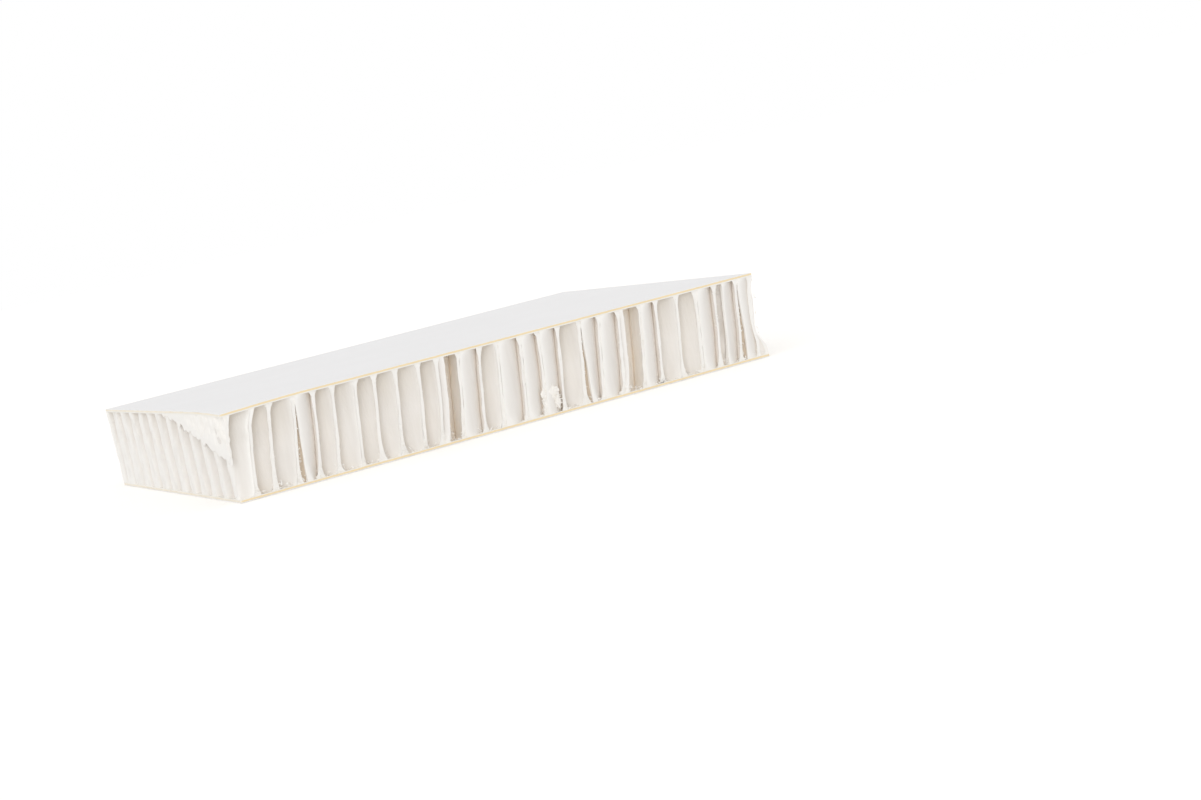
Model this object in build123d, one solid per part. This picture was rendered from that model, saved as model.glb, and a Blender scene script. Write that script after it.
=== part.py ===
from build123d import *
from math import atan2, ceil, cos, pi, radians, sin, tan
import os

# Paper sandwich board: two facing sheets on a core of fluted paper that stands on edge.
# Millimetres. X runs along the long side, Y through the depth, Z up from the bottom sheet.

# Board
length = 130.0
depth = 112.0
thickness = 20.0
sheet = 0.75  # facing sheet
paper = 0.2  # liners and fluted papers

# Core layers, counted along X from the left end
layers = 28
flute_pitch = 9.1  # along a layer, from one flute to the next
crest = 1.6  # flat of a fold, where it is glued to a liner
lean = 0.145  # the layers lean towards +X by this much for each millimetre of height
turn = radians(1.75)  # the saw cuts weren't quite square to the layers
left_over = 2.9  # the first liner would lie this far beyond the left end, on the bottom
right_over = 0.8  # and the last one this far beyond the right end
crowding = 1.0  # the layers lie a little closer on the left than on the right
wander = 0.3  # how far a liner strays from its place

# Where each fluted paper is in its fold at the long cut side, from the left end:
# F leaves the liner on its right, V leaves the one on its left, S has sprung a little off it,
# O is halfway over to the right, D is halfway back to the left and L is nearly back there
fold_starts = "DFFFSFFFFFFDVFVVVFSVLVFFVOSF"
fold_phase = {"F": 0.58, "V": 0.10, "S": 0.15, "O": 0.22, "D": 0.76, "L": 0.84}
phase_spread = 0.03

# Knocked corner of the top sheet
corner_drop = 0.5
corner_along_x = 15.0
corner_along_y = 19.0

core_height = thickness - 2 * sheet
layer_pitch = (length + left_over + right_over) / (layers - 1)  # from one liner to the next
scrap = paper * crest * core_height / 2  # cut-off bits with less paper than this fell out
rise = Vector(lean * core_height, 0, core_height)


def on_board(u, v):
    """Point on top of the bottom sheet, from u across the layers and v along them."""
    x = u * cos(turn) - v * sin(turn) + lean * sheet
    return Vector(x, u * sin(turn) + v * cos(turn), sheet)


def side_of_board(u, y):
    """How far along the layers the board's cut side at y lies, for a layer at u."""
    return (y - u * sin(turn)) / cos(turn)


def liner_place(i):
    """Middle of liner i across the layers."""
    even = i * layer_pitch - length / 2 - left_over
    return even - crowding * sin(pi * i / (layers - 1)) + wander * sin(2.3 * i)


def upright(outline):
    """Stand an outline of points (u, v) up between the facing sheets, leaning as the core does."""
    points = [on_board(u, v) for u, v in outline]
    return Solid.extrude(Face(Wire.make_polygon(points, close=True)), rise)


def liner(i):
    """Flat paper between two fluted ones, longer than the board before it is cut."""
    u = liner_place(i)
    near = side_of_board(u, -depth / 2) - flute_pitch
    far = side_of_board(u, depth / 2) + flute_pitch
    left, right = u - paper / 2, u + paper / 2
    return upright([(left, near), (right, near), (right, far), (left, far)])


def fluted(i):
    """Paper folded back and forth between liner i - 1 and liner i, glued to both at its folds."""
    left = liner_place(i - 1) + paper
    right = liner_place(i) - paper
    middle = (left + right) / 2
    phase = fold_phase[fold_starts[i]] + phase_spread * sin(2.4 * i)
    start = side_of_board(middle, -depth / 2) - phase * flute_pitch
    folds = ceil(2 * (side_of_board(middle, depth / 2) - start) / flute_pitch) + 1
    leg = flute_pitch / 2 - crest
    mitre = paper / 2 * tan(atan2(right - left, leg) / 2)
    sides = []
    for side in (-1, 1):
        points = []
        for k in range(-1, folds + 1):
            to_right = k % 2
            u = right if to_right else left
            flat = crest / 2 + (mitre if to_right == (side > 0) else -mitre)
            v = start + k * flute_pitch / 2
            points += [(u + side * paper / 2, v - flat), (u + side * paper / 2, v + flat)]
        sides.append(points)
    return upright(sides[0] + sides[1][::-1])


def bottom_sheet():
    """Flat facing sheet that the board lies on."""
    return Box(length, depth, sheet, align=(Align.CENTER, Align.CENTER, Align.MIN))


def top_sheet():
    """Facing sheet with its near left corner knocked down along a crease."""
    low, near = -length / 2, -depth / 2
    crease_x = (low + corner_along_x, near)
    crease_y = (low, near + corner_along_y)
    outline = [crease_x, (-low, near), (-low, -near), (low, -near), crease_y]
    flat = Face(Wire.make_polygon([Vector(x, y, thickness) for x, y in outline], close=True))
    knocked = Face(
        Wire.make_polygon(
            [
                Vector(*crease_x, thickness),
                Vector(*crease_y, thickness),
                Vector(low, near, thickness - corner_drop),
            ],
            close=True,
        )
    )
    down = Vector(0, 0, -sheet)
    return Solid.extrude(flat, down) + Solid.extrude(knocked, down)


def cut_to_board(piece, room):
    """Keep what lies between the sheets and within the four cut sides, without the scraps."""
    kept = [solid for solid in (piece & room).solids() if solid.volume > scrap]
    return Compound(children=kept) if len(kept) > 1 else kept[0]


bottom = bottom_sheet()
top = top_sheet()
room = Pos(0, 0, sheet) * Box(
    length, depth, core_height, align=(Align.CENTER, Align.CENTER, Align.MIN)
) - top

pieces = {"bottom_facing_sheet": bottom, "top_facing_sheet": top}
for i in range(layers):
    pieces[f"fluted_paper_{i + 1:02d}"] = cut_to_board(fluted(i), room)
    pieces[f"liner_{i + 1:02d}"] = cut_to_board(liner(i), room)

os.makedirs("parts", exist_ok=True)
for name, piece in pieces.items():
    export_step(piece, f"parts/{name}.step")
    print(name, round(piece.volume, 1), len(piece.solids()))
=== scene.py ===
import logging
import math
from dataclasses import dataclass, field
from enum import Enum

import bpy
import numpy as np
from bpy.types import Material, Node, NodeSocket, NodeTree, Object
from mathutils import Matrix, Vector


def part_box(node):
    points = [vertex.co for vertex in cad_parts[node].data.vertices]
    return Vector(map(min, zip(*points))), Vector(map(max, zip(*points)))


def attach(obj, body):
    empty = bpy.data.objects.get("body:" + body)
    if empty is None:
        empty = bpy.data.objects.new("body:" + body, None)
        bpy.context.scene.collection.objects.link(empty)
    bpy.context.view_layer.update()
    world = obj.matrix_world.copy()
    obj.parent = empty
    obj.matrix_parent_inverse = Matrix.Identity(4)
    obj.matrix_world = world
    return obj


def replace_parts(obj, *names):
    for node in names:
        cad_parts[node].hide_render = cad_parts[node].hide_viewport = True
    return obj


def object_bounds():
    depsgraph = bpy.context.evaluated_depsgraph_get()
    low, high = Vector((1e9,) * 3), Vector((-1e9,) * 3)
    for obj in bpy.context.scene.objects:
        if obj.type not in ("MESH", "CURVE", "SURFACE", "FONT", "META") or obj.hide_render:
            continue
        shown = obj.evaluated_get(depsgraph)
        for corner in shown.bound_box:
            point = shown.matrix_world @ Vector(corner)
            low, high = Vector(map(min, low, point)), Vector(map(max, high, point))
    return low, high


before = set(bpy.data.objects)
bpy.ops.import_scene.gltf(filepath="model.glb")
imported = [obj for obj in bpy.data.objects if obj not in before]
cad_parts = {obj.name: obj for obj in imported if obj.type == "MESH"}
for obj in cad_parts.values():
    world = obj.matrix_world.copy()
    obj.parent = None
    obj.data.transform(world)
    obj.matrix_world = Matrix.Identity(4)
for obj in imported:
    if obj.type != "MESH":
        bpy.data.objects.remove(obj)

logging.basicConfig(level=logging.INFO, format="%(message)s")
log = logging.getLogger("board")

MM = 0.001
CAD_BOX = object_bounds()

Array = np.ndarray
Triple = tuple[float, float, float]

WHITE: Triple = (1.0, 1.0, 1.0)


# Shapes shared by every paper piece


def ripple(points: Array, size: float, seed: int, octaves: int = 3) -> Array:
    """Smooth random field, about -1 to 1, of the given grain size.

    It adds sine waves that run in random directions. Each octave has half the size and half the
    strength of the one before.

    Args:
        points: places to read the field at, shape (..., 3), in metres.
        size: length of the longest waves, in metres.
        seed: which of the fields to use.
        octaves: how many sizes of wave are added.

    Returns:
        One value for each point.
    """
    waves, usual_reach = 5, 3.2
    rng = np.random.default_rng(seed)
    total = np.zeros(points.shape[:-1])
    for octave in range(octaves):
        for _ in range(waves):
            way = rng.normal(size=3)
            way *= 2 * math.pi * 2**octave / (size * np.linalg.norm(way))
            total += 0.5**octave * np.sin(points @ way + rng.uniform(0, 2 * math.pi))
    return total / usual_reach


def fade(distance: Array, reach: float) -> Array:
    """Share left at a distance: 1 at none, and e times less with each further reach."""
    return np.exp(-distance / reach)


def above_zero(value: Array, soft: float) -> Array:
    """The value where it is above 0, and 0 below, rounded over a few times soft in between."""
    return soft * np.logaddexp(0, value / soft)


def lines_between(near: float, far: float, close: tuple[float, ...], step: float) -> Array:
    """Places of grid lines, close together at both cut sides.

    Args:
        near: the near side.
        far: the far side.
        close: distances of the first lines from each side, in millimetres.
        step: spacing of the lines further in.

    Returns:
        Places from near to far.
    """
    first, margin = np.array(close) * MM, 2 * MM
    inner = np.linspace(near + margin, far - margin, int((far - near) / step))
    return np.concatenate([near + first, inner, far - first[::-1]])


def quads_of(index: Array) -> Array:
    """Quads between the neighbours of a grid of vertex numbers, four corners for each."""
    corners = (index[:-1, :-1], index[1:, :-1], index[1:, 1:], index[:-1, 1:])
    return np.stack(corners, -1).reshape(-1, 4)


def shell_faces(n: int, m: int) -> Array:
    """Faces of a closed shell: a grid, the same behind it turned over, and a rim round both.

    Args:
        n: rows of the grid.
        m: columns of the grid.

    Returns:
        Quads on two layers of n * m vertices, the front one first.
    """
    index = np.arange(n * m).reshape(n, m)
    face = quads_of(index)
    rim = np.concatenate([index[:-1, 0], index[-1, :-1], index[:0:-1, -1], index[0, :0:-1]])
    after = np.roll(rim, -1)
    sides = np.stack([after, rim, rim + n * m, after + n * m], -1)
    return np.concatenate([face, face[:, ::-1] + n * m, sides])


def welded_box(*lines: Array) -> tuple[Array, Array]:
    """Closed box of six grids, one on each side, between the lines of the two other axes.

    Points that are equal to nine decimals are made one vertex.

    Args:
        *lines: places of the grid lines along X, along Y and along Z.

    Returns:
        Vertices, shape (n, 3), and quads that face outwards.
    """
    grids, faces, count = [], [], 0
    for fixed in (2, 1, 0):
        across, along = (fixed + 1) % 3, (fixed + 2) % 3
        a, b = np.meshgrid(lines[across], lines[along], indexing="ij")
        quads = quads_of(np.arange(a.size).reshape(a.shape))
        for end, turned in ((-1, 1), (0, -1)):
            grid = np.full((a.size, 3), lines[fixed][end])
            grid[:, across], grid[:, along] = a.ravel(), b.ravel()
            grids.append(grid)
            faces.append(quads[:, ::turned] + count)
            count += a.size
    points, back = np.unique(np.round(np.concatenate(grids), 9), axis=0, return_inverse=True)
    return points, back.ravel()[np.concatenate(faces)]


def placed(name: str, data: bpy.types.ID) -> Object:
    """Make an object and put it into the scene.

    Args:
        name: the object's name.
        data: its mesh, light or camera.

    Returns:
        The new object, at the origin.
    """
    thing = bpy.data.objects.new(name, data)
    bpy.context.scene.collection.objects.link(thing)
    return thing


@dataclass
class Surface:
    """Vertices, faces and point values of one piece while it is put together.

    Leaves of paper stay whole, the inset away from the near and the far cut side.
    """

    inset: float = 0.0
    vertices: list[Array] = field(default_factory=list)
    faces: list[Array] = field(default_factory=list)
    values: dict[str, list[Array]] = field(default_factory=dict)
    count: int = 0

    def add(self, vertices: Array, faces: Array, **values: Array | float) -> None:
        """Add a patch of quads.

        Args:
            vertices: shape (..., 3), in metres.
            faces: shape (..., 4), corners counted from the patch's first vertex.
            **values: by name, one number for each vertex or one for them all.
        """
        vertices = vertices.reshape(-1, 3)
        self.vertices.append(vertices)
        self.faces.append(faces.reshape(-1, 4) + self.count)
        for name, value in values.items():
            value = np.broadcast_to(np.ravel(value), len(vertices))
            self.values.setdefault(name, []).append(value)
        self.count += len(vertices)

    def add_leaf(
        self, middle: Array, thickness: Array | float, **values: Array | float
    ) -> None:
        """Add a leaf of paper as a closed shell round its middle surface.

        Each point of the grid gives two vertices, half the thickness away on either side along
        the normal's level part, so that foot and head stay in the facing sheets' planes. The four
        edges are closed by rims. A pair of vertices that would stand out of the near or the far
        cut side is moved in together.

        Args:
            middle: grid of points, shape (n, m, 3).
            thickness: paper thickness, at each point or everywhere.
            **values: by name, one number for each grid point or one for them all.
        """
        shape = middle.shape[:2]
        normal = np.cross(np.gradient(middle, axis=0), np.gradient(middle, axis=1)) * (1, 1, 0)
        normal /= np.linalg.norm(normal, axis=-1, keepdims=True) + 1e-12
        half = normal * np.broadcast_to(thickness, shape)[..., None] / 2
        pair = np.stack([middle + half, middle - half])
        low, high = CAD_BOX[0][1] + self.inset, CAD_BOX[1][1] - self.inset
        out = np.maximum(pair[..., 1].max(0) - high, 0) + np.minimum(pair[..., 1].min(0) - low, 0)
        pair[..., 1] -= out
        both = {name: np.stack([np.broadcast_to(x, shape)] * 2) for name, x in values.items()}
        self.add(pair, shell_faces(*shape), **both)

    def to_object(self, name: str, material: Material, slot: str) -> Object:
        """Make the mesh object, on the board's one body.

        Args:
            name: the piece's name.
            material: its finish.
            slot: the record's material slot; not used.

        Returns:
            The new object, at the origin, with its place in its mesh.
        """
        low, high = (np.array(corner) for corner in CAD_BOX)
        vertices = np.clip(np.concatenate(self.vertices), low, high)
        faces = np.concatenate(self.faces)
        mesh = bpy.data.meshes.new(name)
        mesh.from_pydata(vertices.tolist(), [], faces.tolist())
        for value_name, parts in self.values.items():
            layer = mesh.attributes.new(value_name, "FLOAT", "POINT")
            layer.data.foreach_set("value", np.concatenate(parts).astype(np.float32))
        mesh.polygons.foreach_set("use_smooth", np.ones(len(faces), bool))
        mesh.set_sharp_from_angle(angle=math.radians(50))
        mesh.materials.append(material)
        piece = placed(name, mesh)
        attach(piece, "root")
        return piece


# Finishes


def nodes_of(material: Material) -> tuple[NodeTree, Node]:
    """Switch a new material to nodes, and give its node tree and its Principled shader."""
    material.use_nodes = True
    return material.node_tree, material.node_tree.nodes["Principled BSDF"]


def noise_node(
    tree: NodeTree, scale: float, detail: float, stretch: Triple = (1, 1, 1)
) -> NodeSocket:
    """Noise on Object coordinates.

    Args:
        tree: where the nodes go.
        scale: waves to the metre.
        detail: octaves.
        stretch: how much finer the pattern is along X, Y and Z.

    Returns:
        The noise's value socket.
    """
    place = tree.nodes.new("ShaderNodeTexCoord")
    mapping = tree.nodes.new("ShaderNodeMapping")
    mapping.inputs["Scale"].default_value = stretch
    noise = tree.nodes.new("ShaderNodeTexNoise")
    noise.inputs["Scale"].default_value = scale
    noise.inputs["Detail"].default_value = detail
    tree.links.new(place.outputs["Object"], mapping.inputs["Vector"])
    tree.links.new(mapping.outputs["Vector"], noise.inputs["Vector"])
    return noise.outputs["Fac"]


def ramp_node(tree: NodeTree, value: NodeSocket, *stops: tuple[float, Triple]) -> NodeSocket:
    """Colour ramp.

    Args:
        tree: where the node goes.
        value: what the ramp reads.
        *stops: place and colour of each stop, in order.

    Returns:
        The ramp's colour socket.
    """
    ramp = tree.nodes.new("ShaderNodeValToRGB")
    elements = ramp.color_ramp.elements
    while len(elements) < len(stops):
        elements.new(0.5)
    for element, (place, colour) in zip(elements, stops):
        element.position = place
        element.color = (*colour, 1)
    tree.links.new(value, ramp.inputs["Fac"])
    return ramp.outputs["Color"]


def value_node(tree: NodeTree, name: str) -> NodeSocket:
    """The piece's own point value of a name.

    Args:
        tree: where the node goes.
        name: the value's name.

    Returns:
        Its socket.
    """
    node = tree.nodes.new("ShaderNodeAttribute")
    node.attribute_name = name
    return node.outputs["Fac"]


def mixed(
    tree: NodeTree,
    share: NodeSocket | float,
    first: NodeSocket,
    second: NodeSocket | Triple,
    blend: str = "MIX",
) -> NodeSocket:
    """Mix of two colours.

    Args:
        tree: where the node goes.
        share: how much of the second colour.
        first: the colour to start from.
        second: the colour to go to.
        blend: how they are mixed.

    Returns:
        The mixed colour's socket.
    """
    mix = tree.nodes.new("ShaderNodeMix")
    mix.data_type, mix.blend_type = "RGBA", blend
    for value, socket in ((share, mix.inputs[0]), (first, mix.inputs[6]), (second, mix.inputs[7])):
        if isinstance(value, NodeSocket):
            tree.links.new(value, socket)
        elif isinstance(value, tuple):
            socket.default_value = (*value, 1)
        else:
            socket.default_value = value
    return mix.outputs[2]


@dataclass(frozen=True)
class PaperFinish:
    """What the two papers of the board share: a rough shader with fine bumps."""

    roughness: float = 0.9
    gloss: float = 0.15
    bump: float = 0.35
    bump_height: float = 0.12 * MM

    def dress(self, tree: NodeTree, shader: Node, colour: NodeSocket, relief: NodeSocket) -> None:
        """Give the shader its colour, its gloss and its bumps.

        Args:
            tree: where the nodes go.
            shader: the material's Principled shader.
            colour: what colours it.
            relief: what the bumps follow.
        """
        tree.links.new(colour, shader.inputs["Base Color"])
        shader.inputs["Roughness"].default_value = self.roughness
        shader.inputs["Specular IOR Level"].default_value = self.gloss
        bump = tree.nodes.new("ShaderNodeBump")
        bump.inputs["Strength"].default_value = self.bump
        bump.inputs["Distance"].default_value = self.bump_height
        tree.links.new(relief, bump.inputs["Height"])
        tree.links.new(bump.outputs["Normal"], shader.inputs["Normal"])


@dataclass(frozen=True)
class CorePaperFinish(PaperFinish):
    """Uncoated paper of the core: warm white, mottled, paler where it is frayed at a cut.

    Its colour holds painted light and shade: it is painted darker near a cut, where light falls on
    it, and paler and warmer deeper in, where the cells are in shade. It has painted shade close
    under the top sheet, and brown painted shade of a slit on a layer left in it.
    """

    # painted light: the paper deep in the cells gets these pale, warm mottling tones against its
    # shade
    deep_thin: Triple = (0.978, 0.938, 0.878)
    deep_thick: Triple = (0.97, 0.945, 0.91)
    # painted light: paper near a cut, where light falls on it, is painted darker
    lit_near_cut: Triple = (0.78, 0.745, 0.71)
    streak: Triple = (0.80, 0.78, 0.74)
    streak_share: float = 0.20
    # painted shade under the top sheet
    shade_under_top: Triple = (0.83, 0.81, 0.77)
    # brown painted shade of a slit
    slit_shade: Triple = (0.62, 0.52, 0.41)
    frayed: Triple = (0.90, 0.88, 0.845)

    def material(self) -> Material:
        """Build the material.

        Returns:
            A rough shader with mottling, painted light and shade, upright fibre streaks and a paler
            frayed edge.
        """
        material = bpy.data.materials.new("core_paper_warm_white")
        tree, shader = nodes_of(material)
        clouds = noise_node(tree, 190, 4, (1, 1, 0.6))
        colour = ramp_node(tree, clouds, (0.32, self.deep_thin), (0.68, self.deep_thick))
        # painted light and shade: darker near a cut, paler and warmer deeper in
        colour = mixed(tree, value_node(tree, "lit"), colour, self.lit_near_cut)
        fibres = noise_node(tree, 900, 3, (1, 1, 0.09))
        streaks = ramp_node(tree, fibres, (0.35, self.streak), (0.65, WHITE))
        colour = mixed(tree, self.streak_share, colour, streaks, "MULTIPLY")
        # painted shade close under the top sheet, and evenly on some folds
        greyer = mixed(tree, 1.0, colour, self.shade_under_top, "MULTIPLY")
        colour = mixed(tree, value_node(tree, "shaded"), colour, greyer)
        # brown painted shade of a slit, on the layer left in it
        colour = mixed(tree, value_node(tree, "slit_shade"), colour, self.slit_shade)
        edge = ramp_node(tree, value_node(tree, "frayed"), (0.1, (0, 0, 0)), (0.75, WHITE))
        colour = mixed(tree, edge, colour, self.frayed)
        self.dress(tree, shader, colour, noise_node(tree, 2600, 5, (1, 1, 0.45)))
        return material


@dataclass(frozen=True)
class FacingFinish(PaperFinish):
    """Paperboard with a smooth white outside, and a cream inner ply that shows where it is cut.

    The left end is covered with white paper dust from the saw.
    """

    roughness: float = 0.62
    gloss: float = 0.2
    bump: float = 0.12
    bump_height: float = 0.05 * MM
    outside: Triple = (0.838, 0.832, 0.834)
    white_ply: Triple = (0.90, 0.89, 0.86)
    cream_ply: Triple = (0.87, 0.715, 0.455)
    inside: Triple = (0.87, 0.84, 0.79)
    dusty: Triple = (0.90, 0.875, 0.82)
    mottle: Triple = (0.985, 0.985, 0.985)
    raggedness: float = 0.22

    def material(self) -> Material:
        """Build the material.

        Returns:
            A shader that reads the depth through the board, 0 outside to 1 inside, for its plies
            with their ragged borders, and has faint mottling and fine bumps.
        """
        material = bpy.data.materials.new("facing_board_white")
        tree, shader = nodes_of(material)
        depth = tree.nodes.new("ShaderNodeMath")
        depth.operation = "MULTIPLY_ADD"
        depth.inputs[1].default_value = self.raggedness
        tree.links.new(noise_node(tree, 700, 3), depth.inputs[0])
        tree.links.new(value_node(tree, "ply"), depth.inputs[2])
        plies = (
            (0.17, self.outside),
            (0.20, self.white_ply),
            (0.23, self.white_ply),
            (0.27, self.cream_ply),
            (0.73, self.cream_ply),
            (0.81, self.inside),
        )
        colour = ramp_node(tree, depth.outputs[0], *plies)
        colour = mixed(tree, value_node(tree, "dusty"), colour, self.dusty)
        clouds = ramp_node(tree, noise_node(tree, 60, 4), (0.3, self.mottle), (0.7, WHITE))
        colour = mixed(tree, 1.0, colour, clouds, "MULTIPLY")
        self.dress(tree, shader, colour, noise_node(tree, 1500, 4))
        return material


# The board


class Fold(Enum):
    """Where a fluted paper is in its fold at the long cut side, as a share of a flute."""

    LEAVES_RIGHT = 0.58
    LEAVES_LEFT = 0.10
    SPRUNG = 0.15
    HALF_OVER = 0.22
    HALF_BACK = 0.76
    NEARLY_BACK = 0.84


FOLD_LETTERS = {
    "F": Fold.LEAVES_RIGHT,
    "V": Fold.LEAVES_LEFT,
    "S": Fold.SPRUNG,
    "O": Fold.HALF_OVER,
    "D": Fold.HALF_BACK,
    "L": Fold.NEARLY_BACK,
}


@dataclass(frozen=True)
class CoreLayout:
    """Where the papers of the core stand, in metres: u across the layers, v along them, h up.

    The first and the last liner would lie left_over and right_over beyond the ends at the bottom.
    The liners lie closer on the left by their crowding, and each wanders off its place. Each
    letter of fold_starts is a fluted paper's fold at the long cut side, give or take the
    phase_spread. The cracked papers have sharper folds, and the top sheet's near left corner is
    knocked down along a crease.
    """

    length: float
    depth: float
    thickness: float
    sheet: float
    layers: int
    paper: float = 0.2 * MM
    flute_pitch: float = 9.1 * MM
    crest: float = 1.6 * MM
    lean: float = 0.145
    turn: float = math.radians(1.75)
    left_over: float = 2.9 * MM
    right_over: float = 0.8 * MM
    crowding: float = 1.0 * MM
    wander: float = 0.3 * MM
    fold_starts: str = "DFFFSFFFFFFDVFVVVFSVLVFFVOSF"
    phase_spread: float = 0.03
    cracked: tuple[int, ...] = (5, 10, 13)
    corner_drop: float = 0.5 * MM
    corner_along_x: float = 15.0 * MM
    corner_along_y: float = 19.0 * MM

    @property
    def height(self) -> float:
        """Room between the facing sheets."""
        return self.thickness - 2 * self.sheet

    def liner_place(self, i: int) -> float:
        """Middle of a liner across the layers.

        Args:
            i: which liner.

        Returns:
            Its u.
        """
        pitch = (self.length + self.left_over + self.right_over) / (self.layers - 1)
        even = i * pitch - self.length / 2 - self.left_over
        bow = self.crowding * math.sin(math.pi * i / (self.layers - 1))
        return even - bow + self.wander * math.sin(2.3 * i)

    def side_of_board(self, u: float, y: float) -> float:
        """How far along the layers the cut side at y lies, for a layer at u."""
        return (y - u * math.sin(self.turn)) / math.cos(self.turn)

    def flute_side(self, i: int, y: float) -> float:
        """How far along its layer the cut side at y lies, for fluted paper i."""
        return self.side_of_board((self.liner_place(i - 1) + self.liner_place(i)) / 2, y)

    def fold_phase(self, i: int) -> float:
        """Where fluted paper i is in its fold at the long cut side."""
        return FOLD_LETTERS[self.fold_starts[i]].value + self.phase_spread * math.sin(2.4 * i)

    def knocked(self, x: Array, y: Array) -> Array:
        """How far the top sheet is knocked down.

        The drop grows evenly from the crease across the corner to the corner itself, and the
        crease is rounded over a few millimetres.

        Args:
            x: places along the board.
            y: places through its depth.

        Returns:
            The drop at each place.
        """
        across = (x + self.length / 2) / self.corner_along_x
        within = 1 - across - (y + self.depth / 2) / self.corner_along_y
        return self.corner_drop * above_zero(within, 0.12)

    def reach(self, u: Array, v: Array) -> tuple[Array, Array]:
        """Lowest and highest h at which the leaning core is still between the two cut ends.

        A paper at (u, v) meets a cut end where its lean has carried it as far along X.

        Args:
            u: places across the layers.
            v: places along them.

        Returns:
            The lower and the upper end of the standing paper; equal where none is left.
        """
        x = u * math.cos(self.turn) - v * math.sin(self.turn) + self.lean * self.sheet
        low = np.clip((-self.length / 2 - x) / self.lean, 0, self.height)
        high = np.clip((self.length / 2 - x) / self.lean, 0, self.height)
        return low, high

    def stand(self, u: Array, v: Array, h: Array) -> Array:
        """Points on the board, with the small bends that the cutting left in the papers.

        Close to a cut side the papers stray together by a fifth of a millimetre, most at middle
        height, and around the knocked corner they are crumpled.

        Args:
            u: places across the layers.
            v: places along them.
            h: heights above the bottom sheet.

        Returns:
            Points, shape (..., 3).
        """
        x = u * math.cos(self.turn) - v * math.sin(self.turn) + self.lean * (self.sheet + h)
        y = u * math.sin(self.turn) + v * math.cos(self.turn)
        share = h / self.height
        place = np.stack([x, y, self.sheet + h], -1)
        belly = 0.20 * MM * np.sin(u / (4.1 * MM) + 1.0) * np.sin(math.pi * share)
        tilt = 0.26 * MM * np.sin(u / (6.3 * MM) + 4.0) * (share - 0.5)
        wave = 0.10 * MM * ripple(place, 9 * MM, 11, 2)
        down = self.thickness - self.sheet - place[..., 2]
        away = (x + self.length / 2) ** 2 + (y + self.depth / 2) ** 2 + (1.3 * down) ** 2
        crush = fade(away, (10 * MM) ** 2)
        x = x + fade(self.inside(place), 14 * MM) * (belly + tilt + wave)
        x = x + 0.55 * MM * crush * ripple(place, 10 * MM, 5)
        y = y + 0.35 * MM * crush * ripple(place, 8 * MM, 6)
        z = self.sheet + h * (1 - self.knocked(x, y) / self.height)
        return np.stack([x, y, z], -1)

    def pressed(self, place: Array, order: int) -> Array:
        """X of a paper that an end's cut pressed flat instead of cutting it off.

        It is the paper's own X, smoothly kept between a land a little inside the left end and one
        inside the right end. Near its front edge the right land is dented by up to two millimetres
        from its top down to a quarter of its height, and flares out again at the foot.

        Args:
            place: points of the paper before it was pressed.
            order: 1 for the outermost paper, 2 for the one it was pressed against.

        Returns:
            Their X afterwards.
        """
        soft = 0.09 * MM
        gap = self.paper + 0.12 * MM * (1 + ripple(place, 5 * MM, 9)) + 0.4 * MM * (order - 1)
        left = gap - self.length / 2
        up = np.clip((place[..., 2] - self.sheet) / self.height, 0, 1)
        dent = 1.95 * MM * (1 - up**3) / (1 + np.exp((0.2 - up) / 0.03))
        dent *= 0.35 + 0.65 * fade(place[..., 1] + self.depth / 2, 22 * MM)
        right = self.length / 2 - gap - dent
        x = left + above_zero(place[..., 0] - left, soft)
        return right - above_zero(right - x, soft)

    def inside(self, place: Array) -> Array:
        """Distance from each point to the nearest of the four cut sides, 0 outside the board."""
        room = np.array((self.length / 2, self.depth / 2)) - np.abs(place[..., :2])
        return np.maximum(room.min(-1), 0)

    def wave(self, v: Array, i: int) -> Array:
        """How far fluted paper i has come across its layer, 0 at the left liner and 1 at the right.

        Along the layer it goes straight from one liner to the other, stays on each for the length
        of a crest, and turns in between over a short soft bend.

        Args:
            v: places along the layer.
            i: which fluted paper.

        Returns:
            The share of the way across, at each place.
        """
        start = self.flute_side(i, -self.depth / 2) - self.fold_phase(i) * self.flute_pitch
        turn = (v - start) / self.flute_pitch
        off_left = np.abs(turn - np.round(turn)) * self.flute_pitch
        way = (off_left - self.crest / 2) / (self.flute_pitch / 2 - self.crest)
        way = 0.5 + (1.0 if i in self.cracked else 1.25) * (way - 0.5)
        soft = 0.04
        return above_zero(way, soft) - above_zero(way - 1, soft)


@dataclass(frozen=True)
class CutEdge:
    """How a paper's cut edge is burred, set back, spread at its foot and head, and frayed.

    Each of these fades with the distance from the cut side, over its own reach, and the foot and
    the head over their heights as well. So does the painted light near a cut, where the paper is
    painted darker as light falls on it, over lit_reach. The painted shade begins behind the edge,
    and fades over shade_reach.
    """

    burr: float = 0.40 * MM
    burr_reach: float = 0.32 * MM
    back: float = 0.16 * MM
    back_reach: float = 0.30 * MM
    foot: float = 1.35 * MM
    foot_height: float = 1.15 * MM
    foot_reach: float = 0.75 * MM
    head: float = 1.1 * MM
    head_height: float = 0.75 * MM
    head_reach: float = 0.8 * MM
    frayed_reach: float = 0.45 * MM
    lit_reach: float = 2.4 * MM
    shade_start: float = 0.8 * MM
    shade_reach: float = 4.0 * MM


@dataclass(frozen=True)
class Shade:
    """How much painted shade a paper has behind its cut edge: evenly, and towards the top sheet."""

    even: float = 0.0
    shade_under_top: float = 0.4


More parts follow.
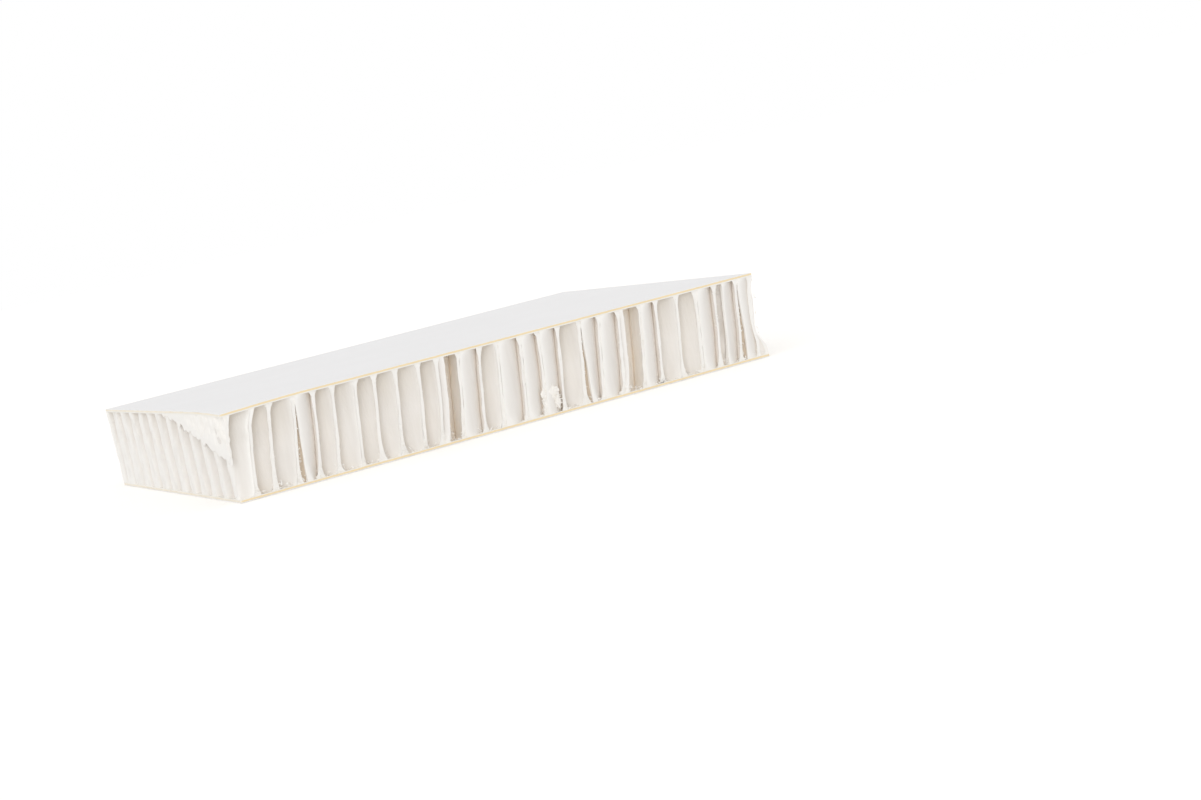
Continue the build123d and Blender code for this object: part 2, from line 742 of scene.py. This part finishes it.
@dataclass
class StandingPaper:
    """A paper of the core on edge, as a grid of columns along v with rows along h.

    Where an end's cut pressed it flat, pressed_flat is 1 for the outermost paper and 2 for the
    next one, and otherwise it is 0. A paper that is crushed is pushed back from the left end,
    and one that is whitened is rubbed as pale as the crumpled leaf beside it.
    """

    layout: CoreLayout
    number: int
    rows: int = 15
    pressed_flat: int = 0
    crushed: bool = False
    whitened: bool = False
    shade: Shade = Shade()
    edge: CutEdge = CutEdge()

    def row_shares(self) -> Array:
        """Shares of the height at which the rows lie, close together at foot and head."""
        return 0.5 - 0.5 * np.cos(np.linspace(0, math.pi, self.rows))

    def columns(self, near: float, far: float, step: float) -> Array:
        """Places of the columns along a layer, from its near to its far cut side."""
        return lines_between(near, far, (0.0, 0.1, 0.22, 0.4, 0.65, 1.0, 1.5), step)

    def stand(self, u: Array, v: Array, h: Array) -> Array:
        """Points of the paper on the board, pressed or crushed by an end's cut if the paper is.

        One that is crushed keeps half a millimetre away from the left end.

        Args:
            u: places across the layers.
            v: places along them.
            h: heights above the bottom sheet.

        Returns:
            Points, shape (..., 3).
        """
        place = self.layout.stand(u, v, h)
        if self.pressed_flat:
            place[..., 0] = self.layout.pressed(place, self.pressed_flat)
        if self.crushed:
            place[..., 0] = np.maximum(place[..., 0], 0.5 * MM - self.layout.length / 2)
        return place

    def raise_up(self, surface: Surface, u: Array, v: Array, torn: float) -> None:
        """Stand the paper up, cut off at the board's ends, and add it to the surface.

        Rows are spread from the lowest to the highest standing point of each column. A paper that
        is pressed flat isn't cut by an end of the board. Runs with too little paper are left out,
        as cut-off bits that fell out.

        Args:
            surface: where the paper goes.
            u: how far across the layers each column and row is, shape (columns, rows).
            v: places of the columns.
            torn: how unevenly the paper is torn where an end cuts through it, in metres.
        """
        layout = self.layout
        low, high = layout.reach(u[:, 0], v)
        if self.pressed_flat:
            low, high = low * 0, high * 0 + layout.height
        least_height, least_columns = 0.3 * MM, 3
        scrap = layout.crest * layout.height / 2
        standing = high - low > least_height
        ends = np.flatnonzero(np.diff(np.concatenate([[0], standing.astype(int), [0]])))
        for first, last in ends.reshape(-1, 2):
            part = slice(first, last)
            run = np.hypot(np.diff(v[part]), np.diff(u[part, 0])).sum()
            if last - first < least_columns or run * (high - low)[part].mean() < scrap:
                continue
            bottom, top = low[part, None], high[part, None]
            if torn:
                notch = torn * (1 + ripple(np.stack([v[part]] * 3, -1), 6 * MM, 40 + self.number))
                bottom = np.where(bottom > 0, np.minimum(bottom + notch[:, None], top), bottom)
                top = np.where(top < layout.height, np.maximum(top - notch[:, None], bottom), top)
            up = bottom + (top - bottom) * self.row_shares()
            self.add_run(surface, self.stand(u[part], v[part, None] + 0 * up, up), up)

    def add_run(self, surface: Surface, place: Array, up: Array) -> None:
        """Add a standing run of the paper with its cut edges.

        It is thicker where it is cut, by a burr of fibres of uneven width, and spreads at its
        foot and its head. One that is pressed flat lies along the end, so that its edges are
        those at the long cut sides, and its ridges are rubbed pale.

        Args:
            surface: where the run goes.
            place: its points, shape (columns, rows, 3).
            up: heights above the bottom sheet, shape (columns, rows).
        """
        layout, edge = self.layout, self.edge
        inside = layout.inside(place)
        # painted light: paper near a cut, where light falls on it, is painted darker
        lit, rubbed = fade(inside, edge.lit_reach), 0.0
        if self.whitened:
            lit, rubbed = 0.0, 0.45
        if self.pressed_flat:
            rubbed = 0.2 + 0.5 * fade(np.maximum(inside - 0.32 * MM, 0), 0.2 * MM)
            inside = np.minimum(layout.depth / 2 - np.abs(place[..., 1]), 4 * inside + 0.3 * MM)
            lit = 0.75
        uneven = 1 + 0.6 * ripple(place, 1.6 * MM, 21 + self.number)
        burr = edge.burr * fade(inside, edge.burr_reach) * np.clip(uneven, 0.65, 1.7)
        spread = np.clip(0.75 + 0.6 * ripple(place, 11 * MM, 8), 0.25, 1.4)
        foot = spread * fade(up, edge.foot_height) * fade(inside, edge.foot_reach)
        head = fade(layout.height - up, edge.head_height) * fade(inside, edge.head_reach)
        back = edge.back * np.clip(uneven, 0, 2) * fade(inside, edge.back_reach)
        place[..., 1] -= np.sign(place[..., 1]) * back
        frayed = 0.75 * fade(inside, edge.frayed_reach) + 0.8 * foot + 0.3 * head + rubbed
        # painted shade behind the cut edge, evenly and close under the top sheet
        shade_under_top = np.clip((up / layout.height - 0.52) / 0.48, 0, 1) ** 0.8
        shaded = self.shade.even + self.shade.shade_under_top * shade_under_top
        shaded = shaded * (1 - fade(inside, edge.shade_start)) * fade(inside, edge.shade_reach)
        surface.add_leaf(
            place,
            layout.paper + burr + edge.foot * foot + edge.head * head,
            frayed=np.clip(frayed, 0, 1),
            lit=lit,
            shaded=shaded,
        )


@dataclass
class Liner(StandingPaper):
    """Flat paper between two fluted ones."""

    def build(self, material: Material) -> Object:
        """Build the liner in place of its solid.

        Args:
            material: its finish.

        Returns:
            The new piece.
        """
        layout = self.layout
        place = layout.liner_place(self.number)
        near = layout.side_of_board(place, -layout.depth / 2)
        far = layout.side_of_board(place, layout.depth / 2)
        v = self.columns(near, far, 1.3 * MM)
        surface = Surface(inset=0.02 * MM)
        self.raise_up(surface, np.full((len(v), self.rows), place), v, 0.5 * MM)
        piece = surface.to_object(f"liner_paper_{self.number + 1:02d}", material, "core_paper")
        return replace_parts(piece, f"liner_{self.number + 1:02d}")


@dataclass
class FlutedPaper(StandingPaper):
    """Paper folded back and forth between two liners."""

    def bent_over(self, deep: Array, up: Array, across: Array) -> Array:
        """Bend the cut edge of a paper that leaves its left liner at the long cut side.

        The saw bent it over to the right, so that it first turns away from the liner and then
        goes straight on to the other one: the lower of two lines over the depth, softly joined.
        One that has sprung off its liner starts further from it towards its foot, and the last
        one was pressed on from the right end, so that it lies shallower.

        Args:
            deep: distance of each column from the cut side, shape (columns, 1).
            up: share of the height of each row.
            across: the share of the way across that the wave gives.

        Returns:
            The share of the way across.
        """
        sprung = self.layout.fold_starts[self.number] == "S"
        start = 0.30 * np.clip(1.06 - up, 0, 1) ** 1.2 if sprung else 0.0
        first = start + 0.9 * deep / MM
        last = self.number == self.layout.layers - 2
        second = 0.55 + 0.6 * deep / MM if last else 0.40 + 0.32 * deep / MM
        bent = first - above_zero(first - second, 0.06) + 0.02
        return np.where(deep < 3.0 * MM, np.clip(bent, 0, 1), across)

    def course(self, v: Array) -> Array:
        """How far across the layers the paper is.

        It crosses from liner to liner as the layout's wave says, apart from a bent edge.

        Args:
            v: places of the columns.

        Returns:
            Its u at each column and row.
        """
        layout, i = self.layout, self.number
        left = layout.liner_place(i - 1) + layout.paper
        right = layout.liner_place(i) - layout.paper
        across = np.repeat(layout.wave(v, i)[:, None], self.rows, 1)
        if layout.fold_starts[i] in "VS":
            deep = v - layout.flute_side(i, -layout.depth / 2)
            across = self.bent_over(deep[:, None], self.row_shares(), across)
        return left + (right - left) * across

    def build(self, material: Material) -> Object:
        """Build the fluted paper in place of its solid.

        Args:
            material: its finish.

        Returns:
            The new piece.
        """
        layout, i = self.layout, self.number
        near, far = (layout.flute_side(i, y) for y in (-layout.depth / 2, layout.depth / 2))
        v = self.columns(near, far, 0.58 * MM)
        surface = Surface(inset=(0.03 if i % 2 else 0.01) * MM)
        self.raise_up(surface, self.course(v), v, 0.0)
        piece = surface.to_object(f"flute_paper_{i + 1:02d}", material, "core_paper")
        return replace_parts(piece, f"fluted_paper_{i + 1:02d}")


@dataclass
class BridgingLayer:
    """Layer that bridges a slit from its liner to the fluted paper, with the slit's painted shade.
    """

    liner: Liner
    flute: FlutedPaper
    deep: float
    slit_shade: float
    reach: float = 0.7

    def add_to(self, surface: Surface) -> None:
        """Add the layer to a surface.

        At each height it goes straight from the liner towards the fluted paper, a little way
        behind the cut side, and is pushed in on the left by a ripple.

        Args:
            surface: where it goes.
        """
        layout, rows = self.flute.layout, self.flute.rows
        near = layout.flute_side(self.flute.number, -layout.depth / 2) + self.deep
        up = self.flute.row_shares() * layout.height
        v = np.full(rows, near)
        left = self.liner.stand(np.full(rows, layout.liner_place(self.liner.number)), v, up)
        right = self.flute.stand(self.flute.course(np.array([near]))[0], v, up)
        share = np.linspace(0, self.reach, 13)[:, None, None]
        grid = left + (right - left) * share
        grid[..., 1] += self.deep * (1 - share[..., 0]) * (0.3 + 0.2 * ripple(grid, 3 * MM, 61))
        # the layer carries the slit's brown painted shade, as much as it is given
        values = {"frayed": 0.0, "lit": 0.5, "shaded": 0.0, "slit_shade": self.slit_shade}
        surface.add_leaf(grid, 0.1 * MM, **values)


@dataclass
class FacingSheet:
    """Flat paperboard sheet with cut edges, as a closed plate.

    The levels are shares of its thickness at which grid lines run round its edges, from inside
    the board to outside it.
    """

    layout: CoreLayout
    on_top: bool
    grain: float = 2.0 * MM
    levels: tuple[float, ...] = (0.0, 0.12, 0.4, 0.6, 0.88, 1.0)

    def lines(self, half: float) -> Array:
        """Grid lines across the sheet, from one edge to the other, half its width away each."""
        return lines_between(-half, half, (0.0, 0.08, 0.2, 0.45, 0.9), self.grain)

    def build(self, material: Material) -> Object:
        """Build the sheet in place of its solid.

        The knife has pressed the outer edge down by a few hundredths of a millimetre and left the
        cut edge a little uneven. The cream ply lies further out in the bottom sheet. The dust
        thins out within half a millimetre of the left end.

        Args:
            material: its finish.

        Returns:
            The new piece.
        """
        layout = self.layout
        x_lines, y_lines = self.lines(layout.length / 2), self.lines(layout.depth / 2)
        points, faces = welded_box(x_lines, y_lines, np.array(self.levels))
        x, y, out = points.T
        from_end, from_side = layout.length / 2 - np.abs(x), layout.depth / 2 - np.abs(y)
        inside = np.minimum(from_end, from_side)
        ragged = 0.05 * MM * (1 + ripple(points * (1, 1, MM), 2.5 * MM, 3))
        uneven = ragged * fade(inside, 0.12 * MM)
        rise = out * layout.sheet - 0.07 * MM * fade(inside, 0.25 * MM) * (out == 1)
        if self.on_top:
            z = layout.thickness - layout.sheet + rise - layout.knocked(x, y)
        else:
            z = layout.sheet - rise
            faces = faces[:, ::-1]
        at_edge = 0.5 * MM
        x = x - np.sign(x) * uneven * (from_end < at_edge)
        y = y - np.sign(y) * uneven * (from_side < at_edge)
        dusty = 0.78 * fade(layout.length / 2 + x, 0.30 * MM) * (out < 1)
        ply = 1 - out - (0 if self.on_top else 0.16)
        surface = Surface()
        surface.add(np.stack([x, y, z], -1), faces, ply=ply, dusty=dusty)
        side = "top" if self.on_top else "bottom"
        piece = surface.to_object(f"{side}_facing_board", material, "facing_sheet")
        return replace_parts(piece, f"{side}_facing_sheet")


@dataclass
class TornFibres:
    """What the cutting tore off the papers and left hanging or lying on them.

    Fluff on their cut edges, crumbs at their feet, a tuft in one cell, a leaf crumpled onto the
    near left corner, and layers in the slits of some folds, which carry the slits' brown painted
    shade. The tuft's lumps are given by their centre, from the middle of the long cut side at its
    foot, and by their half sizes. The slit layers are given by their depth behind the cut side and
    by how much brown painted shade they carry.
    """

    layout: CoreLayout
    rng: np.random.Generator = field(default_factory=lambda: np.random.default_rng(4))
    lumps: tuple[tuple[Triple, Triple], ...] = (
        ((9.3, 0.44, 5.3), (1.8, 0.34, 1.8)),
        ((8.0, 0.42, 2.9), (0.65, 0.32, 2.0)),
        ((10.8, 0.46, 3.4), (0.60, 0.34, 1.7)),
    )
    slit_layers: tuple[tuple[str, float, float], ...] = (("S", 0.60, 1.0), ("O", 1.15, 0.15))

    def shreds(
        self,
        surface: Surface,
        root: Array,
        way: Array,
        lengths: tuple[float, float],
        widths: tuple[float, float],
    ) -> None:
        """Add curled strips, all at once.

        Each strip leaves its root along its way, bends sideways with the square of the distance
        and narrows to a blunt tip. One that would stand out of the board is moved in whole.

        Args:
            surface: where they go.
            root: where each strip starts, shape (n, 3).
            way: the direction it starts in, shape (n, 3).
            lengths: the least and the greatest length, in millimetres.
            widths: the least and the greatest width at the root, in millimetres.
        """
        n, steps, rng = len(root), 5, self.rng
        length = rng.uniform(*lengths, n)[:, None, None, None] * MM
        width = rng.uniform(*widths, n)[:, None, None, None] * MM
        way = way / np.linalg.norm(way, axis=1, keepdims=True)
        side = np.cross(way, rng.normal(size=(n, 3)))
        side /= np.linalg.norm(side, axis=1, keepdims=True)
        bend = np.cross(side, way) * rng.uniform(-0.9, 0.9, (n, 1))
        s = np.linspace(0, 1, steps)[None, :, None, None]
        t = np.array([-0.5, 0.5])[None, None, :, None]
        middle = (
            root[:, None, None]
            + way[:, None, None] * s * length
            + bend[:, None, None] * s**2 * length
            + side[:, None, None] * t * width * (1 - 0.7 * s)
        )
        half = np.cross(way, side)[:, None, None] * 0.03 * MM
        grid = np.stack([middle + half, middle - half], 1)
        low, high = (np.array(corner) for corner in CAD_BOX)
        least, most = grid.min((1, 2, 3)), grid.max((1, 2, 3))
        moved = np.maximum(low - least, 0) - np.maximum(most - high, 0)
        grid = grid + moved[:, None, None, None]
        faces = shell_faces(steps, 2) + (np.arange(n) * steps * 4)[:, None, None]
        surface.add(grid, faces, frayed=1.0, lit=1.0)

    def edge_fluff(self) -> Surface:
        """Short fibres along the cut edges of every paper, thickest around its foot.

        Returns:
            Their surface.
        """
        layout, rng, surface = self.layout, self.rng, Surface()
        for y, each in ((-layout.depth / 2, 36), (layout.depth / 2, 16)):
            for i in range(layout.layers):
                left, right = layout.liner_place(i - 1), layout.liner_place(i)
                cut = layout.flute_side(i, y)
                flute = left + (right - left) * float(layout.wave(np.array([cut]), i)[0])
                u = np.repeat([right, flute], each) + rng.normal(size=2 * each) * 0.10 * MM
                h = rng.uniform(0.02, 0.98, 2 * each) ** 1.25 * layout.height
                at_foot = rng.random(2 * each) < 0.35
                h = np.where(at_foot, 0.1 * h, h)
                u = u + at_foot * rng.normal(size=2 * each) * 0.45 * MM
                v = np.full(2 * each, cut) - np.sign(y) * rng.uniform(0, 0.35, 2 * each) * MM
                low, high = layout.reach(u, v)
                root = layout.stand(u, v, h)[(h > low) & (h < high)]
                way = rng.normal(size=root.shape) * (1.0, 0.25, 1.2)
                self.shreds(surface, root, way, (0.15, 0.55), (0.12, 0.32))
        return surface

    def foot_crumbs(self) -> Surface:
        """Larger flakes that lie at the feet of the papers, along the bottom sheet.

        Returns:
            Their surface.
        """
        layout, rng, surface = self.layout, self.rng, Surface()
        n = 300
        x = rng.uniform(-0.49, 0.485, n) * layout.length
        y = -layout.depth / 2 + rng.uniform(0.1, 1.6, n) ** 2 * MM
        z = layout.sheet + rng.uniform(0, 1, n) ** 3 * 0.9 * MM
        way = rng.normal(size=(n, 3)) * (1.0, 0.5, 0.4) + (0, 0, 0.15)
        self.shreds(surface, np.stack([x, y, z], -1), way, (0.3, 1.1), (0.25, 0.7))
        return surface

    def ball(self, steps: int = 17) -> tuple[Array, Array]:
        """Closed ball of radius 1: a cube whose grids are blown up to a sphere.

        Args:
            steps: grid lines on each side of the cube.

        Returns:
            Its points, shape (n, 3), and its quads.
        """
        line = np.tan(np.linspace(-1, 1, steps) * math.pi / 4)
        points, quads = welded_box(line, line, line)
        return points / np.linalg.norm(points, axis=1, keepdims=True), quads

    def tuft(self) -> Surface:
        """The torn tuft at the foot of one cell on the long cut side.

        A big lump on two legs. Each is an ellipsoid whose radius goes up and down with two
        ripples, a coarse and a fine one, and short shreds stand out of it.

        Returns:
            Its surface.
        """
        rng, surface, n = self.rng, Surface(), 90
        ball, quads = self.ball()
        for centre, half in self.lumps:
            middle = np.array([0, -self.layout.depth / 2, 0]) + np.array(centre) * MM
            rough = 1 + 0.25 * ripple(ball + middle / MM, 0.9, 31) + 0.08 * ripple(ball, 0.25, 33)
            lump = middle + ball * np.array(half) * MM * rough[..., None]
            surface.add(lump, quads, frayed=0.3, lit=0.0)
            out = rng.normal(size=(n, 3)) * (1, 0.6, 1)
            out /= np.linalg.norm(out, axis=1, keepdims=True)
            root = middle + out * np.array(half) * 0.9 * MM
            way = out + rng.normal(size=(n, 3)) * 0.6
            self.shreds(surface, root, way, (0.25, 0.7), (0.2, 0.45))
        return surface

    def crushed_corner(self) -> Surface:
        """Paper that the saw crumpled onto the first liner, at the near corner of the left end.

        A leaf over the width and the height of what is left of the first fluted paper. It is
        crumpled by a coarse ripple and upright creases, its lower edge follows the liner's, and
        at the corner it is wrapped round onto the liner.

        Returns:
            Its surface.
        """
        layout, surface = self.layout, Surface()
        columns, rows = 200, 44
        place = layout.liner_place(0) - 0.3 * MM
        near = layout.side_of_board(place, -layout.depth / 2)
        v = near + np.linspace(0.05, 52, columns) * MM
        bottom = layout.reach(np.full(columns, place), v)[0]
        bottom += 0.7 * MM * ripple(np.stack([v] * 3, -1), 3.5 * MM, 71)
        bottom = np.clip(bottom, 0, layout.height - 0.4 * MM)[:, None]
        up = bottom + (layout.height - bottom) * np.linspace(0, 1, rows)
        leaf = layout.stand(np.full(up.shape, place), v[:, None] + 0 * up, up)
        from_corner = leaf[..., 1] + layout.depth / 2
        crumpled = 0.3 + 0.7 * fade(from_corner, 12 * MM)
        creases = ripple(leaf * (1, 1, 0.3), 2.2 * MM, 73)
        relief = np.maximum(1 + 0.9 * ripple(leaf, 4.2 * MM, 72) + 0.6 * creases, 0)
        flat_x = (0.08 + 0.42 * crumpled * relief) * MM - layout.length / 2
        wrapped = fade(from_corner**2, (0.9 * MM) ** 2)
        beside_liner = np.maximum(leaf[..., 0] + 0.1 * MM, flat_x)
        leaf[..., 0] = flat_x + wrapped * (beside_liner - flat_x)
        surface.add_leaf(leaf, 0.15 * MM, frayed=0.45, lit=0.0, shaded=0.0)
        return surface

    def bridging_layers(self) -> Surface:
        """Layers in some folds' slits, with their brown painted shade, and one under the right
        end's last folds.

        Returns:
            Their surface.
        """
        layout, surface = self.layout, Surface()
        behind = {letter: (deep * MM, brown) for letter, deep, brown in self.slit_layers}
        for i, letter in enumerate(layout.fold_starts):
            if letter in behind:
                liner, flute = Liner(layout, i - 1), FlutedPaper(layout, i)
                BridgingLayer(liner, flute, *behind[letter]).add_to(surface)
        last = layout.layers - 1
        flute = FlutedPaper(layout, last, pressed_flat=1)
        liner = Liner(layout, last - 1, pressed_flat=2)
        BridgingLayer(liner, flute, deep=0.3 * MM, slit_shade=0.0, reach=1.0).add_to(surface)
        return surface

    def build(self, material: Material) -> list[Object]:
        """Build the fluff, crumbs and tuft, the crumpled leaf, and slit layers with painted shade.

        Args:
            material: the core paper's finish.

        Returns:
            The new pieces.
        """
        surfaces = {
            "cut_edge_fluff": self.edge_fluff(),
            "foot_crumbs": self.foot_crumbs(),
            "torn_tuft": self.tuft(),
            "crushed_corner": self.crushed_corner(),
            "bridging_layers": self.bridging_layers(),
        }
        return [
            surface.to_object(name, material, "core_paper") for name, surface in surfaces.items()
        ]


@dataclass
class SandwichBoard:
    """The whole board: two facing sheets and the papers between them.

    A fluted paper that leaves its right liner at the long cut side turns its face to the open
    cell, and is given more painted shade there than one that is in any other fold.
    """

    layout: CoreLayout
    leaves_right: Shade = Shade(even=0.32, shade_under_top=0.95)
    other_folds: Shade = Shade(shade_under_top=0.1)

    def build(self) -> list[Object]:
        """Build and dress every piece.

        Returns:
            The new pieces.
        """
        layout = self.layout
        paper, board = CorePaperFinish().material(), FacingFinish().material()
        pieces = [FacingSheet(layout, on_top).build(board) for on_top in (False, True)]
        last = layout.layers - 1
        for i, letter in enumerate(layout.fold_starts):
            shade = self.leaves_right if letter == "F" else self.other_folds
            flat = 1 if i in (1, last) else 0
            flute = FlutedPaper(layout, i, pressed_flat=flat, crushed=i == 0, shade=shade)
            flat = 2 if i == last - 1 else 0
            liner = Liner(layout, i, pressed_flat=flat, whitened=i == 0)
            pieces += [flute.build(paper), liner.build(paper)]
        return pieces + TornFibres(layout).build(paper)


# The studio


@dataclass(frozen=True)
class Lamp:
    """Large soft light far off, which lights the board evenly from one side."""

    name: str
    way: Triple
    strength: float
    softness: float = math.radians(50)

    def build(self) -> Object:
        """Make the lamp, shining from its way towards the board.

        Returns:
            The light object.
        """
        sun = bpy.data.lights.new(self.name, "SUN")
        sun.energy = self.strength
        sun.angle = self.softness
        light = placed(self.name, sun)
        light.location = self.way
        light.rotation_euler = (-Vector(self.way)).to_track_quat("-Z", "Y").to_euler()
        return light


@dataclass(frozen=True)
class Studio:
    """White floor and sky that show white behind the board, and three soft lights."""

    sky: float = 0.85
    floor_reach: float = 6.0
    floor_colour: Triple = (0.88, 0.88, 0.88)
    floor_glow: Triple = (0.20, 0.185, 0.165)
    bounces: int = 32
    lamps: tuple[Lamp, ...] = (
        Lamp("front_light", (-0.49, -0.85, 0.19), 0.56),
        Lamp("light_from_above", (-0.10, -0.10, 0.99), 0.14),
        Lamp("left_light", (-0.62, -0.50, 0.60), 0.28),
    )

    def seen(self, tree: NodeTree) -> NodeSocket:
        """Tell what is seen from what only lights the board.

        Args:
            tree: where the nodes go.

        Returns:
            NodeSocket that is 1 for what the camera, a reflection or clear glass shows.
        """
        path = tree.nodes.new("ShaderNodeLightPath")
        seen = path.outputs["Is Camera Ray"]
        for ray in ("Is Glossy Ray", "Is Transmission Ray"):
            either = tree.nodes.new("ShaderNodeMath")
            either.operation = "MAXIMUM"
            tree.links.new(seen, either.inputs[0])
            tree.links.new(path.outputs[ray], either.inputs[1])
            seen = either.outputs[0]
        return seen

    def build_sky(self) -> None:
        """Even white sky, which shows at full white and lights at its own level."""
        world = bpy.data.worlds.new("studio_sky")
        bpy.context.scene.world = world
        world.use_nodes = True
        tree = world.node_tree
        level = tree.nodes.new("ShaderNodeMix")
        level.data_type = "FLOAT"
        level.inputs[2].default_value = self.sky
        level.inputs[3].default_value = 1.0
        tree.links.new(self.seen(tree), level.inputs[0])
        tree.links.new(level.outputs[0], tree.nodes["Background"].inputs["Strength"])
        tree.nodes["Background"].inputs["Color"].default_value = (*WHITE, 1)

    def build_floor(self) -> None:
        """Pale floor that shows white where it is lit and keeps the board's soft shadow."""
        r = self.floor_reach
        mesh = bpy.data.meshes.new("studio_floor")
        mesh.from_pydata([(-r, -r, 0), (r, -r, 0), (r, r, 0), (-r, r, 0)], [], [(0, 1, 2, 3)])
        material = bpy.data.materials.new("floor_white")
        tree, shader = nodes_of(material)
        shader.inputs["Base Color"].default_value = (*self.floor_colour, 1)
        shader.inputs["Roughness"].default_value = 1.0
        shader.inputs["Specular IOR Level"].default_value = 0.0
        glow = tree.nodes.new("ShaderNodeEmission")
        glow.inputs["Color"].default_value = (*self.floor_glow, 1)
        tree.links.new(self.seen(tree), glow.inputs["Strength"])
        both = tree.nodes.new("ShaderNodeAddShader")
        tree.links.new(shader.outputs[0], both.inputs[0])
        tree.links.new(glow.outputs[0], both.inputs[1])
        tree.links.new(both.outputs[0], tree.nodes["Material Output"].inputs["Surface"])
        mesh.materials.append(material)
        floor = placed("studio_floor", mesh)

    def build(self) -> None:
        """Set up sky, floor and lights, and bounces for light to find its way out of cells."""
        light_paths = bpy.context.scene.cycles
        light_paths.max_bounces = self.bounces
        light_paths.diffuse_bounces = self.bounces
        self.build_sky()
        self.build_floor()
        for lamp in self.lamps:
            lamp.build()


@dataclass(frozen=True)
class PhotoCamera:
    """Camera at the photograph's angle to the board, tipped sideways as the board is there."""

    place: Triple = (-188.9 * MM, -548.3 * MM, 55.25 * MM)
    azimuth: float = math.radians(23.07)
    elevation: float = math.radians(5.81)
    roll: float = math.radians(13.09)
    lens: float = 71.55
    sensor: float = 36.0

    def build(self) -> Object:
        """Make the camera the scene's own.

        Returns:
            The camera object.
        """
        level, down = math.cos(self.elevation), math.sin(self.elevation)
        ahead = Vector((math.sin(self.azimuth) * level, math.cos(self.azimuth) * level, -down))
        right = ahead.cross(Vector((0, 0, 1))).normalized()
        up = right.cross(ahead)
        tipped_up = up * math.cos(self.roll) + right * math.sin(self.roll)
        tipped_right = ahead.cross(tipped_up)
        lens = bpy.data.cameras.new("photo_camera")
        lens.sensor_width = self.sensor
        lens.lens = self.lens
        lens.clip_start = 0.01
        camera = placed("photo_camera", lens)
        turned = Matrix((tipped_right, tipped_up, -ahead)).transposed()
        camera.matrix_world = Matrix.Translation(self.place) @ turned.to_4x4()
        bpy.context.scene.camera = camera
        return camera


def main() -> None:
    """Build the board and the studio, and report each piece."""
    low, high = CAD_BOX
    layout = CoreLayout(
        length=high.x - low.x,
        depth=high.y - low.y,
        thickness=high.z - low.z,
        sheet=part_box("bottom_facing_sheet")[1][2],
        layers=sum(name.startswith("liner_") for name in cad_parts),
    )
    PhotoCamera().build()
    Studio().build()
    for piece in SandwichBoard(layout).build():
        log.info("%s: %d faces", piece.name, len(piece.data.polygons))
    bpy.context.scene.view_settings.view_transform = "Standard"


if __name__ == "__main__":
    main()
